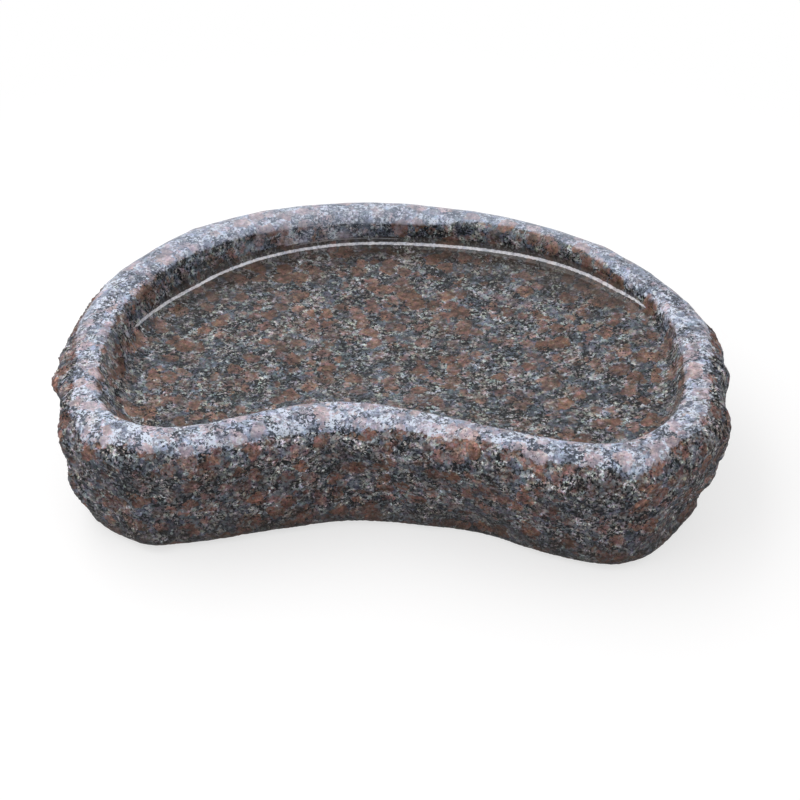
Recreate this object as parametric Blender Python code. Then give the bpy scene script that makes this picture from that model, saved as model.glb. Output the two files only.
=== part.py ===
"""Kidney-shaped bird bath, carved from one block of granite.

The block lies on its sawn underside. Its sides are hewn with a hammer and
lean in towards the foot, its crown is honed to a round bead, and the shallow
basin inside the crown is polished. The section changes all the way round:
the basin's wall is steep along the back and shelves at the left-hand end, so
that birds can walk in, and the floor rises a little to the right.

Metres, +Z up, +X along the length, with the hollow of the kidney facing -Y.
The origin is on the underside, below the middle of the block.
"""

import math

import bmesh
import bpy
import numpy as np
from mathutils import Vector, noise


# The block, before the relief of its sides
LENGTH = 0.392
DEPTH = 0.300
HEIGHT = 0.080

# The crown: its flat top and the rounding to each side of it
CROWN_FLAT = 0.008
CROWN_OUTER_RADIUS = 0.016
CROWN_INNER_RADIUS = 0.007

# The basin: the drop of its wall, the fillet at the wall's foot, and how far
# the floor sinks further to its middle
WALL_DROP = 0.021
FILLET_RADIUS = 0.007
FLOOR_DISH = 0.003
FLOOR_RING_SHARES = (0.80, 0.45)

# The foot: its rounding, and how far it stands in from the widest part
FOOT_RADIUS = 0.011
FOOT_INSET = 0.010

# The hewn relief: struck hollows with ridges between them, smaller flakes
# struck off in the hollows, and slow swells under both
HOLLOW_WIDTH = 0.028
HOLLOW_DEPTH = 0.006
HOLLOW_LEVEL_SHARE = 0.25
FLAKE_WIDTH = 0.014
FLAKE_DEPTH = 0.0024
FLAKE_LEVEL_SHARE = 0.60
SWELL_WIDTH = 0.075
SWELL_DEPTH = 0.003

# The large chips of the side
CHIP_WIDTH = 0.030
CHIP_DEPTH = 0.008

# Plan of the crown's middle line, anticlockwise from the right-hand end.
# Each row holds shares of: half the length, half the depth, the crown's flat,
# a right angle for the slope of the basin's wall, the wall's drop, the foot's
# inset, and the relief of the side.
OUTLINE_SHARES = (
    (1.00, -0.32, 0.8, 0.70, 0.75, 1.30, 0.90),
    (0.985, 0.12, 0.5, 0.80, 0.60, 0.80, 1.00),
    (0.768, 0.585, 0.2, 0.92, 0.62, 1.00, 1.00),
    (0.475, 0.885, 0.3, 0.95, 0.80, 1.00, 1.00),
    (0.13, 1.035, 0.6, 0.90, 0.95, 1.00, 1.00),
    (-0.25, 1.07, 0.9, 0.90, 1.00, 1.00, 1.00),
    (-0.68, 0.85, 1.0, 0.74, 1.00, 1.00, 1.00),
    (-0.94, 0.35, 1.0, 0.80, 1.00, 1.00, 1.00),
    (-1.01, -0.32, 0.8, 0.50, 1.00, 1.00, 0.90),
    (-0.985, -0.75, 0.8, 0.60, 1.00, 1.10, 0.70),
    (-0.76, -0.93, 0.4, 0.65, 1.00, 1.00, 0.50),
    (-0.54, -0.86, 0.4, 0.65, 1.00, 1.30, 0.40),
    (-0.27, -0.70, 0.8, 0.65, 1.00, 0.75, 0.40),
    (-0.05, -0.71, 0.9, 0.65, 1.00, 1.45, 0.40),
    (0.36, -0.93, 0.5, 0.65, 1.00, 2.25, 0.40),
    (0.74, -1.115, 0.9, 0.70, 1.00, 0.70, 0.50),
    (0.98, -0.72, 0.9, 0.75, 0.90, 1.40, 0.70),
)

# Each large chip has its shares of: the way round, the height, the full width
# and the full depth, which is negative for stone left standing.
CHIP_SHARES = (
    (0.000, 0.66, 0.6, 0.4),
    (0.050, 0.80, 0.9, 0.4),
    (0.085, 0.85, 0.8, 0.3),
    (0.130, 0.90, 0.8, -0.2),
    (0.545, 0.88, 0.5, -0.4),
    (0.568, 0.74, 0.8, 1.2),
    (0.591, 0.36, 0.8, -0.8),
    (0.625, 0.08, 0.6, -0.5),
    (0.812, 0.06, 1.0, 1.0),
    (0.930, 0.18, 1.0, 0.9),
    (0.958, 0.52, 0.7, -0.1),
    (0.966, 0.26, 0.6, 0.9),
    (0.980, 0.85, 0.7, 0.9),
)

# Stations round the plan, and rings in each stretch of the section
STATIONS = 192
FOOT_STEPS = 4
SIDE_STEPS = 8
CROWN_STEPS = 7
EDGE_STEPS = 4
WALL_STEPS = 2
FILLET_STEPS = 4

CRISP_ANGLE = math.radians(50)
STONE_COLOR = (0.155, 0.115, 0.112, 1.0)
STONE_ROUGHNESS = 0.42


def clear_scene():
    """Remove every object of the scene that is open."""
    for item in list(bpy.data.objects):
        bpy.data.objects.remove(item, do_unlink=True)


def stone_material():
    """Red-brown granite, as its colours mix from a step away."""
    material = bpy.data.materials.new("granite")
    material.use_nodes = True
    shader = material.node_tree.nodes["Principled BSDF"]
    shader.inputs["Base Color"].default_value = STONE_COLOR
    shader.inputs["Roughness"].default_value = STONE_ROUGHNESS
    shader.inputs["Metallic"].default_value = 0.0
    material.diffuse_color = STONE_COLOR
    return material


def smooth_loop(rows, samples):
    """Closed cubic B-spline that follows all the columns of rows at once."""
    control = np.array(rows)
    count = len(control)
    along = np.arange(samples) * count / samples
    index = np.floor(along).astype(int)
    u = (along - index)[:, None]
    weights = (
        (1 - u) ** 3 / 6,
        (3 * u ** 3 - 6 * u ** 2 + 4) / 6,
        (-3 * u ** 3 + 3 * u ** 2 + 3 * u + 1) / 6,
        u ** 3 / 6,
    )
    return sum(
        weight * control[(index + step - 1) % count]
        for step, weight in enumerate(weights)
    )


def step_lengths(loop):
    """Length in plan from each point of a closed loop to the next."""
    return np.linalg.norm(np.roll(loop, -1, axis=0)[:, :2] - loop[:, :2], axis=1)


def even_stations(loop, count):
    """Rows of the loop, respaced to equal steps along its plan."""
    reached = np.concatenate([[0.0], np.cumsum(step_lengths(loop))])
    wanted = np.linspace(0.0, reached[-1], count, endpoint=False)
    closed = np.vstack([loop, loop[:1]])
    columns = [np.interp(wanted, reached, column) for column in closed.T]
    return np.stack(columns, axis=1)


def fit_span(values, span):
    """Stretch values to the given span, with its middle at zero."""
    low = values.min()
    high = values.max()
    return (values - (low + high) / 2) * span / (high - low)


def crown_line():
    """Stations of the crown's middle line, and the other shares at each."""
    reach = CROWN_FLAT / 2 + CROWN_OUTER_RADIUS
    loop = smooth_loop(OUTLINE_SHARES, len(OUTLINE_SHARES) * STATIONS)
    loop[:, 0] = fit_span(loop[:, 0], LENGTH - 2 * reach)
    loop[:, 1] = fit_span(loop[:, 1], DEPTH - 2 * reach)
    rows = even_stations(loop, STATIONS)
    return rows[:, :2], rows[:, 2:].T


def outward(plan):
    """Unit normals of an anticlockwise plan, pointing away from the basin."""
    ahead = np.roll(plan, -1, axis=0) - np.roll(plan, 1, axis=0)
    ahead /= np.linalg.norm(ahead, axis=1)[:, None]
    return np.stack([ahead[:, 1], -ahead[:, 0]], axis=1)


def turn(middle, radius, start, stop, steps):
    """Rings round a corner of the section, as (offset, height, facing)."""
    rings = []
    for share in np.linspace(0.0, 1.0, steps + 1):
        facing = start + (stop - start) * share
        offset = middle[0] + radius * np.cos(facing)
        height = middle[1] + radius * np.sin(facing)
        rings.append((offset, height, facing))
    return rings


def between(first, second, steps):
    """Rings along the straight run from one ring to the next."""
    rings = []
    for share in np.arange(1, steps) / steps:
        rings.append(tuple(a + (b - a) * share for a, b in zip(first, second)))
    return rings


def outer_section(crown_share, inset_share):
    """Rings from the underside's edge up the side and over the crown."""
    level = math.pi / 2
    crown_half = CROWN_FLAT / 2 * crown_share
    widest = crown_half + CROWN_OUTER_RADIUS
    foot_edge = widest - FOOT_INSET * inset_share
    crown_middle = (crown_half, HEIGHT - CROWN_OUTER_RADIUS)
    foot_middle = (foot_edge - FOOT_RADIUS, FOOT_RADIUS)
    # The side is the straight line that touches both roundings
    across = crown_middle[0] - foot_middle[0]
    rise = crown_middle[1] - foot_middle[1]
    swing = np.arcsin((CROWN_OUTER_RADIUS - FOOT_RADIUS) / np.hypot(across, rise))
    lean = np.arctan2(across, rise) + swing
    foot = turn(foot_middle, FOOT_RADIUS, -level, -lean, FOOT_STEPS)
    crown = turn(crown_middle, CROWN_OUTER_RADIUS, -lean, level, CROWN_STEPS)
    return foot + between(foot[-1], crown[0], SIDE_STEPS) + crown


def inner_section(crown_share, slope_share, drop_share):
    """Rings from the crown's inner edge down the basin's wall to its foot."""
    level = math.pi / 2
    slope = slope_share * level
    drop = WALL_DROP * drop_share
    bends = (CROWN_INNER_RADIUS + FILLET_RADIUS) * (1 - np.cos(slope))
    # Both roundings are smaller where the wall is too low for them
    room_share = np.minimum(drop / bends, 1.0)
    edge_radius = CROWN_INNER_RADIUS * room_share
    fillet_radius = FILLET_RADIUS * room_share
    sweep = (edge_radius + fillet_radius) * np.sin(slope)
    run = (drop - bends * room_share) / np.tan(slope)
    edge_middle = (-CROWN_FLAT / 2 * crown_share, HEIGHT - edge_radius)
    fillet_middle = (edge_middle[0] - sweep - run, HEIGHT - drop + fillet_radius)
    edge = turn(edge_middle, edge_radius, level, level + slope, EDGE_STEPS)
    fillet = turn(fillet_middle, fillet_radius, slope - level, -level, FILLET_STEPS)
    return edge + between(edge[-1], fillet[0], WALL_STEPS) + fillet


def hollow_height(place):
    """How far the hewn surface stands out at a place on the smooth side."""
    swell = noise.noise(place / SWELL_WIDTH)
    hollow = noise.voronoi(place / HOLLOW_WIDTH)[0][0] ** 2 - HOLLOW_LEVEL_SHARE
    flake = noise.voronoi(place / FLAKE_WIDTH)[0][0] - FLAKE_LEVEL_SHARE
    return SWELL_DEPTH * swell + HOLLOW_DEPTH * hollow + FLAKE_DEPTH * flake


def chip_depths(ring):
    """Depth that the large chips take off a ring, station by station."""
    round_length = step_lengths(ring).sum()
    around = np.arange(STATIONS) / STATIONS
    depths = np.zeros(STATIONS)
    for around_share, height_share, width_share, depth_share in CHIP_SHARES:
        apart = np.abs(around - around_share)
        along = np.minimum(apart, 1 - apart) * round_length
        up = ring[:, 2] - HEIGHT * height_share
        reach = np.hypot(along, up) / (CHIP_WIDTH * width_share)
        depths += CHIP_DEPTH * depth_share * np.maximum(1 - reach ** 2, 0) ** 2
    return depths


def roughen(ring, facing, normals, relief_share):
    """Move a ring in and out with the relief, which dies away on level stone."""
    stand = np.array([hollow_height(Vector(point)) for point in ring])
    stand = stand * relief_share - chip_depths(ring)
    moved = ring.copy()
    moved[:, :2] += normals * (stand * np.cos(facing) ** 2)[:, None]
    return moved


def ring_at(plan, normals, offset, height):
    """One ring of points, offset outwards from the crown's middle line."""
    flat = plan + normals * np.reshape(offset, (-1, 1))
    return np.column_stack([flat, np.broadcast_to(height, STATIONS)])


def floor_rings(edge):
    """Rings of the dished floor, drawn in from its edge to a flat middle."""
    middle = (edge.min(axis=0) + edge.max(axis=0)) / 2
    middle[2] = edge[:, 2].min() - FLOOR_DISH
    rings = []
    for share in FLOOR_RING_SHARES:
        ring = middle + (edge - middle) * share
        ring[:, 2] = middle[2] + (edge[:, 2] - middle[2]) * share ** 2
        rings.append(ring)
    return rings


def stone_rings():
    """All rings of the stone, from the underside's edge to the floor's middle."""
    plan, shares = crown_line()
    crown_share, slope_share, drop_share, inset_share, relief_share = shares
    normals = outward(plan)
    rings = []
    for offset, height, facing in outer_section(crown_share, inset_share):
        ring = ring_at(plan, normals, offset, height)
        rings.append(roughen(ring, facing, normals, relief_share))
    for offset, height, _ in inner_section(crown_share, slope_share, drop_share):
        rings.append(ring_at(plan, normals, offset, height))
    return rings + floor_rings(rings[-1])


def settled(rings):
    """Rings moved so that the middle of their box stands over the origin."""
    points = np.concatenate(rings)
    middle = (points.min(axis=0) + points.max(axis=0)) / 2
    middle[2] = 0.0
    return [ring - middle for ring in rings]


def loft(name, rings):
    """Closed mesh through anticlockwise rings, capped at the first and last."""
    shape = bmesh.new()
    loops = [[shape.verts.new(point) for point in ring] for ring in rings]
    for lower, upper in zip(loops, loops[1:]):
        for index, corner in enumerate(lower):
            before = index - 1
            shape.faces.new((lower[before], corner, upper[index], upper[before]))
    shape.faces.new(reversed(loops[0]))
    shape.faces.new(loops[-1])
    mesh = bpy.data.meshes.new(name)
    shape.to_mesh(mesh)
    shape.free()
    return mesh


def build_stone(collection):
    """The only piece: the carved block, lying on its underside."""
    mesh = loft("granite_basin", settled(stone_rings()))
    mesh.materials.append(stone_material())
    mesh.shade_smooth()
    mesh.set_sharp_from_angle(angle=CRISP_ANGLE)
    collection.objects.link(bpy.data.objects.new("granite_basin", mesh))


def main():
    """Build the bird bath in a collection of its own."""
    clear_scene()
    collection = bpy.data.collections.new("stone_bird_bath")
    bpy.context.scene.collection.children.link(collection)
    build_stone(collection)


if __name__ == "__main__":
    main()
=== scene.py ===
"""Looks of a kidney-shaped bird bath, carved from one block of granite.

The stone is lofted again at a close spacing by the rule of the CAD part, so it
keeps the same crown, basin and struck hollows. Geometry Nodes then chip its
hewn sides, always inwards, and the granite runs through the whole block as a
solid pattern with three finishes: polished basin, honed crown, hewn sides.
"""

import math

import bmesh
import bpy
import numpy as np
from bpy.props import FloatProperty, FloatVectorProperty, IntProperty, PointerProperty
from mathutils import Color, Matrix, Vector, noise


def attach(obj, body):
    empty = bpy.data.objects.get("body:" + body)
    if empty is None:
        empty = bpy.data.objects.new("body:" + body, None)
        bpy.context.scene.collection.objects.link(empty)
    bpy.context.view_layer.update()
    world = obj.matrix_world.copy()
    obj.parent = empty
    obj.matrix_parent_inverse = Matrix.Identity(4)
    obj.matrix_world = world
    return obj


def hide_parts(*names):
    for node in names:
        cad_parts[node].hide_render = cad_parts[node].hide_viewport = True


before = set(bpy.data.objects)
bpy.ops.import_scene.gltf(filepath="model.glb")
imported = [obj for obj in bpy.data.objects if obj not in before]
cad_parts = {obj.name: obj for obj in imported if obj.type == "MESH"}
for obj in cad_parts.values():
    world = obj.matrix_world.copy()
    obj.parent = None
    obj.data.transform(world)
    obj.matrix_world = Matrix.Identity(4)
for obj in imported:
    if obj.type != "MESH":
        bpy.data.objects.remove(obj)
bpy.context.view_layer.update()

bl_info = {
    "name": "Stone bird bath",
    "version": (1, 0, 0),
    "blender": (4, 5, 0),
    "location": "3D View > Sidebar > Bird bath",
    "description": "Carves a granite bird bath with a polished basin and hewn sides",
    "category": "Object",
}

RIGHT_ANGLE = math.pi / 2

# The block, before the relief of its sides, as in the CAD part
LENGTH = 0.392
DEPTH = 0.300
HEIGHT = 0.080
CROWN_FLAT = 0.008
CROWN_OUTER_RADIUS = 0.016
CROWN_INNER_RADIUS = 0.007
WALL_DROP = 0.021
FILLET_RADIUS = 0.007
FLOOR_DISH = 0.003
FOOT_RADIUS = 0.011
FOOT_INSET = 0.010

# The hewn relief and the large chips, as in the CAD part
HOLLOW_WIDTH = 0.028
HOLLOW_DEPTH = 0.006
HOLLOW_LEVEL_SHARE = 0.25
FLAKE_WIDTH = 0.014
FLAKE_DEPTH = 0.0024
FLAKE_LEVEL_SHARE = 0.60
SWELL_WIDTH = 0.075
SWELL_DEPTH = 0.003
CHIP_WIDTH = 0.030
CHIP_DEPTH = 0.008

# Plan of the crown's middle line, anticlockwise from the right-hand end.
# Each row holds shares of: half the length, half the depth, the crown's flat,
# a right angle for the slope of the basin's wall, the wall's drop, the foot's
# inset, and the relief of the side.
OUTLINE_SHARES = (
    (1.00, -0.32, 0.8, 0.70, 0.75, 1.30, 0.90),
    (0.985, 0.12, 0.5, 0.80, 0.60, 0.80, 1.00),
    (0.768, 0.585, 0.2, 0.92, 0.62, 1.00, 1.00),
    (0.475, 0.885, 0.3, 0.95, 0.80, 1.00, 1.00),
    (0.13, 1.035, 0.6, 0.90, 0.95, 1.00, 1.00),
    (-0.25, 1.07, 0.9, 0.90, 1.00, 1.00, 1.00),
    (-0.68, 0.85, 1.0, 0.74, 1.00, 1.00, 1.00),
    (-0.94, 0.35, 1.0, 0.80, 1.00, 1.00, 1.00),
    (-1.01, -0.32, 0.8, 0.50, 1.00, 1.00, 0.90),
    (-0.985, -0.75, 0.8, 0.60, 1.00, 1.10, 0.70),
    (-0.76, -0.93, 0.4, 0.65, 1.00, 1.00, 0.50),
    (-0.54, -0.86, 0.4, 0.65, 1.00, 1.30, 0.40),
    (-0.27, -0.70, 0.8, 0.65, 1.00, 0.75, 0.40),
    (-0.05, -0.71, 0.9, 0.65, 1.00, 1.45, 0.40),
    (0.36, -0.93, 0.5, 0.65, 1.00, 2.25, 0.40),
    (0.74, -1.115, 0.9, 0.70, 1.00, 0.70, 0.50),
    (0.98, -0.72, 0.9, 0.75, 0.90, 1.40, 0.70),
)

# Each large chip has its shares of: the way round, the height, the full width
# and the full depth, which is negative for stone left standing.
CHIP_SHARES = (
    (0.000, 0.66, 0.6, 0.4),
    (0.050, 0.80, 0.9, 0.4),
    (0.085, 0.85, 0.8, 0.3),
    (0.130, 0.90, 0.8, -0.2),
    (0.545, 0.88, 0.5, -0.4),
    (0.568, 0.74, 0.8, 1.2),
    (0.591, 0.36, 0.8, -0.8),
    (0.625, 0.08, 0.6, -0.5),
    (0.812, 0.06, 1.0, 1.0),
    (0.930, 0.18, 1.0, 0.9),
    (0.958, 0.52, 0.7, -0.1),
    (0.966, 0.26, 0.6, 0.9),
    (0.980, 0.85, 0.7, 0.9),
)

# Stations round the plan, and rings in the foot, side, crown, inner edge, wall
# and fillet: those of the CAD part, and those of the piece that is seen
CAD_STATIONS = 192
CAD_STEPS = (4, 8, 7, 4, 2, 4)
SEEN_STATIONS = 780
SEEN_STEPS = (8, 40, 20, 7, 12, 22)
FLOOR_RING_SHARES = (0.985, 0.96, 0.92, 0.86, 0.78, 0.68, 0.56, 0.42, 0.26, 0.10)

# Where the finishes meet, anticlockwise from the right-hand end. Each row holds
# the way round and two shares: how far the hewn side reaches up towards the
# crown's level top, and how far the honed crown reaches down the inner edge.
FINISH_SHARES = (
    (0.00, 0.82, 0.80),
    (0.03, 0.58, 0.88),
    (0.09, 0.50, 0.90),
    (0.12, 0.45, 0.40),
    (0.17, 0.44, 0.10),
    (0.21, 0.44, 0.26),
    (0.24, 0.44, 0.86),
    (0.29, 0.44, 1.00),
    (0.33, 0.44, 0.99),
    (0.36, 0.44, 0.92),
    (0.40, 0.44, 0.78),
    (0.43, 0.44, 0.82),
    (0.48, 0.47, 0.42),
    (0.51, 0.58, 0.56),
    (0.545, 0.88, 0.70),
    (0.565, 0.93, 0.95),
    (0.59, 0.66, 0.85),
    (0.60, 0.35, 0.75),
    (0.62, 0.51, 0.55),
    (0.65, 0.39, 0.50),
    (0.70, 0.50, 0.50),
    (0.74, 0.43, 0.50),
    (0.78, 0.72, 0.50),
    (0.80, 0.55, 0.50),
    (0.815, 0.82, 0.50),
    (0.85, 0.56, 0.50),
    (0.87, 0.63, 0.55),
    (0.895, 0.39, 0.60),
    (0.92, 0.75, 0.63),
    (0.935, 0.68, 0.50),
    (0.955, 0.85, 0.60),
    (0.985, 0.88, 0.74),
)
HEWN_BLUR = math.radians(12)
POLISH_BLUR = math.radians(27)
SAWN_END = (math.radians(-86), math.radians(-70))

# A painted highlight: a narrow pale strip in the corner of the basin stands in for the overhead
# lamp's reflection in the fillet. Each row holds the way round and two shares of the fillet's
# radius: how far the strip's middle is past the foot of the wall, and the strip's half width.
FILLET_HIGHLIGHT_SHARES = (
    (0.066, 0.15, -0.10),
    (0.076, 0.26, 0.10),
    (0.104, 0.60, 0.14),
    (0.200, 0.68, 0.13),
    (0.300, 0.52, 0.13),
    (0.360, 0.50, 0.13),
    (0.411, 0.74, 0.13),
    (0.430, 0.58, 0.13),
    (0.453, 0.28, 0.14),
    (0.481, -0.20, 0.13),
    (0.492, -0.40, -0.10),
)

# A fainter painted highlight line stands at the foot of the back wall, given by the same shares
WALL_FOOT_HIGHLIGHT_SHARES = (
    (0.248, 0.16, -0.12),
    (0.262, 0.15, 0.09),
    (0.300, 0.02, 0.11),
    (0.326, 0.02, 0.10),
    (0.344, 0.26, -0.12),
)

# Where the basin's wall slopes gently, its fillet is worn wider by this share
WORN_SHARE = 1.2
WORN_SLOPE_SHARES = (0.62, 0.80)

# Painted shade: the floor is dull and brown along the back wall, where the wall shades it, as
# far in as this share of it
WALL_SHADE_REACH = 0.74
WALL_SHADE_DEPTHS = (0.0, 0.5)

# Attributes of the mesh that carry to the nodes the finishes, the painted highlight strips and
# the painted shade along the back wall, and the value of each where a ring doesn't set it
HEWN = "hewn"
POLISHED = "polished"
SAWN = "sawn"
FILLET_HIGHLIGHT = "corner"
WALL_FOOT_HIGHLIGHT = "faint"
BACK_WALL_SHADE = "back_wall_shade"
UNSET = {HEWN: 0.0, POLISHED: 0.0, SAWN: 0.0, FILLET_HIGHLIGHT: -1.0, WALL_FOOT_HIGHLIGHT: -1.0, BACK_WALL_SHADE: 0.0}

# Settings that the node group of the minerals takes as its inputs
MINERAL_WIDTHS = ("feldspar_width", "quartz_width", "pale_width", "grain_width", "fleck_width")
MINERAL_COLORS = ("pink", "rust", "slate", "pale", "cream", "umber", "black")

# The granite's patterns are a little longer from front to back
LONG_GRAIN = (1.0, 0.94, 1.0)

# Soft patterns. Each row holds the shift that keeps the pattern apart from the
# others, its width, its detail and its roughness. A width of None is one of the
# settings, or comes with the bend.
IN_PLACE = (0.0, 0.0, 0.0)
PATTERNS = {
    "drift": ((0.2, 0.3, 0.8), 0.0065, 2.0, 0.55),
    "grain": ((0.3, 0.1, 0.2), None, 3.0, 0.65),
    "quartz": ((0.7, 0.4, 0.9), None, 4.0, 0.62),
    "pale": ((0.1, 0.9, 0.5), None, 4.0, 0.62),
    "fray": (IN_PLACE, 0.0020, 3.0, 0.70),
    "haze": ((0.2, 0.6, 0.1), 0.0045, 3.0, 0.65),
    "slow": ((0.6, 0.1, 0.4), 0.0200, 2.0, 0.50),
    "hues": ((0.1, 0.2, 0.7), 0.0030, 3.0, 0.65),
    "crowd": ((0.5, 0.5, 0.3), 0.0110, 4.0, 0.62),
    "flake": ((0.9, 0.2, 0.4), None, 2.0, 0.60),
    "shred": ((0.4, 0.9, 0.1), 0.0013, 1.0, 0.50),
    "edge": (IN_PLACE, 0.0080, 4.0, 0.72),
    "bloom": ((0.1, 0.8, 0.6), 0.0120, 3.0, 0.60),
    "strip edge": (IN_PLACE, 0.0022, 2.0, 0.60),
    "strip": ((0.7, 0.5, 0.2), 0.0035, 3.0, 0.65),
    "swell": (IN_PLACE, 0.0220, 1.0, 0.50),
    "tooth": (IN_PLACE, 0.0013, 2.0, 0.60),
    "grit": (IN_PLACE, 0.0016, 3.0, 0.70),
    "bend": (IN_PLACE, None, 2.0, 0.50),
}

# Bends push a pattern about. Each row holds the bend's width and its reach.
BENDS = {
    "crystal": (0.0040, 0.0050),
    "facet": (0.0030, 0.0020),
    "scar": (0.0100, 0.0060),
    "crumb": (0.0040, 0.0030),
}

# Where each mask begins and where it is full, in what it is made from: noise, a
# chance, a finish of the mesh, metres, or the slant of a ray to the sky
SPANS = {
    "even": (0.30, 0.70),
    "drift": (0.34, 0.66),
    "hues": (0.32, 0.68),
    "dark grain": (0.12, 0.44),
    "light grain": (0.54, 0.78),
    "quartz": (0.44, 0.54),
    "pale": (0.545, 0.60),
    "crystal": (-0.08, 0.12),
    "spark": (0.92, 0.96),
    "dust": (0.80, 0.90),
    "crowd": (0.38, 0.66),
    "hewn": (0.38, 0.62),
    "polished": (0.24, 0.76),
    "sawn": (0.30, 0.70),
    "corner": (-0.02, 0.04),
    "faint": (0.0, 0.10),
    "back": (0.02, 0.11),
    "middle": (-0.10, -0.02),
    "foot_shade": (0.0, 0.030),
    "worn foot": (0.002, 0.016),
    "far ground": (0.26, 0.55),
    "sky behind": (-0.6, 0.8),
    "sky aside": (-0.8, 0.8),
    "horizon": (0.02, 0.14),
}

# How much each share multiplies a colour by, at 0 and at 1
TONES = {
    "slate": (0.60, 1.50),
    "crystal": (0.78, 1.22),
    "pink": (0.72, 1.28),
    "haze": (0.52, 1.48),
    "slow": (0.78, 1.22),
    "speckle": (0.24, 1.76),
    "bloom": (0.35, 1.65),
    # The middle and back tones are painted light on the honed crown: darker past the front,
    # brighter again at the back
    "middle": (1.0, 0.81),
    "back": (1.0, 1.14),
}

# How far each layer hides what is below it
COVERS = {
    "slate": 0.86,
    "pale": 0.85,
    "small crystals": 0.85,
    "pink": 0.92,
    "calm": 0.60,
    "sparkless": 0.75,
    "spark": 0.75,
    "mica": 0.97,
    "wall_shade": 0.90,
    "faint": 0.32,
    "dust": 0.46,
    "foot_shade": 0.58,
}

# Pink crystals. Each row holds their shift and the share of the cells that has one.
# The last of these, up to the weak share of all cells, are faint. The reach of the
# smallest and the largest, and the fray of their edges, are shares of a cell.
CRYSTALS = {
    "large": ((0.4, 0.2, 0.6), 0.72),
    "small": ((0.9, 0.7, 0.1), 0.36),
}
WEAK_SHARE = 0.38
SMALL_WIDTH_SHARE = 0.5
CRYSTAL_REACH_SHARES = (0.36, 0.80)
CRYSTAL_FRAY_SHARE = 0.5

# Red, green and blue are pushed apart by up to this share
HUE_SHARE = 0.11

# Width of the speckle, and the shift and width of the specks that show alone
SPECKLE_WIDTH = 0.0010
SPECKS = {
    "spark": ((0.8, 0.3, 0.7), 0.0016),
    "dust": ((0.5, 0.7, 0.2), 0.0017),
}

# Mica shows above a level of its noise, lower in clusters and higher in pink
# crystals. Flakes and shreds begin at a rise above it and fill out over a blur.
MICA_LEVELS = (0.630, 0.492)
MICA_PINK_RISE = 0.085
MICA_RISE_BLUR = {"flake": (0.0, 0.03), "shred": (0.035, 0.04)}

# How far the edges of the finishes and of the painted highlight strips wander, less so at the
# back of the basin
EDGE_WANDER = 0.46
BACK_WANDER_SHARE = 0.36
PAINTED_HIGHLIGHT_WANDER = 0.08

# Honed stone: its share of grey, its tint, how far mica shows through its bloom in front and at
# the back, its gamma, its brightest colour, and a veil at the back, given where the bloom is
# faint and where it is strong. The tint makes honed stone paler, as it is, and bluer, which is a
# painted sky sheen; the bloom and the bluish veil at the back are painted sheen too. The painted
# highlight strips are paler still.
HONED_GREY_SHARE = 0.30
HONED_AND_SHEEN_TINT = (2.42, 2.54, 2.90)
HONED_MICA_SHARES = (0.72, 0.26)
HONED_GAMMA = 0.86
HONED_LIMIT = (0.70, 0.75, 0.86)
BACK_SHEEN_COLOR = (0.42, 0.47, 0.57)
BACK_SHEEN_SHARES = (0.34, 0.10)
# Painted highlight: the pale strips stand in for the overhead lamp's reflection in the fillet
PAINTED_HIGHLIGHT_COLOR = (0.86, 0.82, 0.83)
PAINTED_HIGHLIGHT_COVER = (0.24, 0.90)

# Polished stone in painted shade along the back wall, and hewn stone with painted shade at its
# foot
WALL_SHADE_COLOR = (0.047, 0.037, 0.031)
WALL_SHADE_DULLING = 0.66
HEWN_GREY_SHARE = 0.16
HEWN_TINT = (2.12, 2.02, 2.04)
HEWN_GAMMA = 1.14
# Painted shade: darker, browner stone at the foot of the hewn sides
FOOT_SHADE_COLOR = (0.058, 0.050, 0.044)

# Heights of the finishes' skins, how strongly the stone mirrors, and what mica
# takes off its roughness
SWELL_HEIGHT = 0.00030
TOOTH_HEIGHT = 0.00016
FACET_WIDTH = 0.0030
FACET_HEIGHT = 0.0007
FACET_STEP_SHARE = 0.6
GRIT_HEIGHT = 0.0008
STONE_SPECULAR = 0.24
MICA_GLEAM = 0.10

# Scars are wider than they are high, as ledges are, and weak where the foot is worn
LEDGE_SQUEEZE = (1.0, 1.0, 1.4)
WORN_FOOT_SHARE = 0.3

# The stage: a round ground a hair below the stone, an overcast sky with its left
# and right sides, one lamp overhead, and the photographer's camera, straight in
# front and looking down
GROUND_RADIUS = 15.0
GROUND_GAP = 0.0003
GROUND_SIDES = 96
DAYLIGHT = (0.97, 0.985, 1.0)
SKY_SIDES = (1.06, 0.92)
LAMP_SIZE = (2.4, 0.8)
LAMP_PLACE = (-0.60, 0.10, 1.20)
VIEW_TARGET = (0.0050, -0.0278, 0.040)
SENSOR_WIDTH = 36.0
CLIP_SPAN = (0.05, 50.0)


def length_setting(name, description, default, least=0.0005):
    """Setting for a length, in metres."""
    return FloatProperty(
        name=name,
        description=description,
        default=default,
        min=least,
        unit="LENGTH",
        precision=4,
    )


def color_setting(name, description, default):
    """Setting for a colour."""
    return FloatVectorProperty(
        name=name,
        description=description,
        default=default,
        subtype="COLOR",
        min=0.0,
        max=1.0,
    )


def level_setting(name, description, default, most=1000.0):
    """Setting for a brightness, a power or a roughness."""
    return FloatProperty(
        name=name, description=description, default=default, min=0.0, max=most
    )


class StoneReliefSettings(bpy.types.PropertyGroup):
    """Fine relief that the chisel leaves on the sides."""

    scar_width: length_setting(
        "Scar width", "Width of the small scars between the flakes", 0.0070, least=0.004
    )
    scar_depth: length_setting("Scar depth", "Depth of the small scars", 0.0009, least=0.0)
    crumb_width: length_setting(
        "Crumb width", "Width of the broken crystals", 0.0036, least=0.002
    )
    crumb_depth: length_setting(
        "Crumb depth", "Depth of the broken crystals", 0.0007, least=0.0
    )
    seed: IntProperty(
        name="Seed",
        description="Moves the small scars and the broken crystals to other places",
        default=7,
    )


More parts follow.
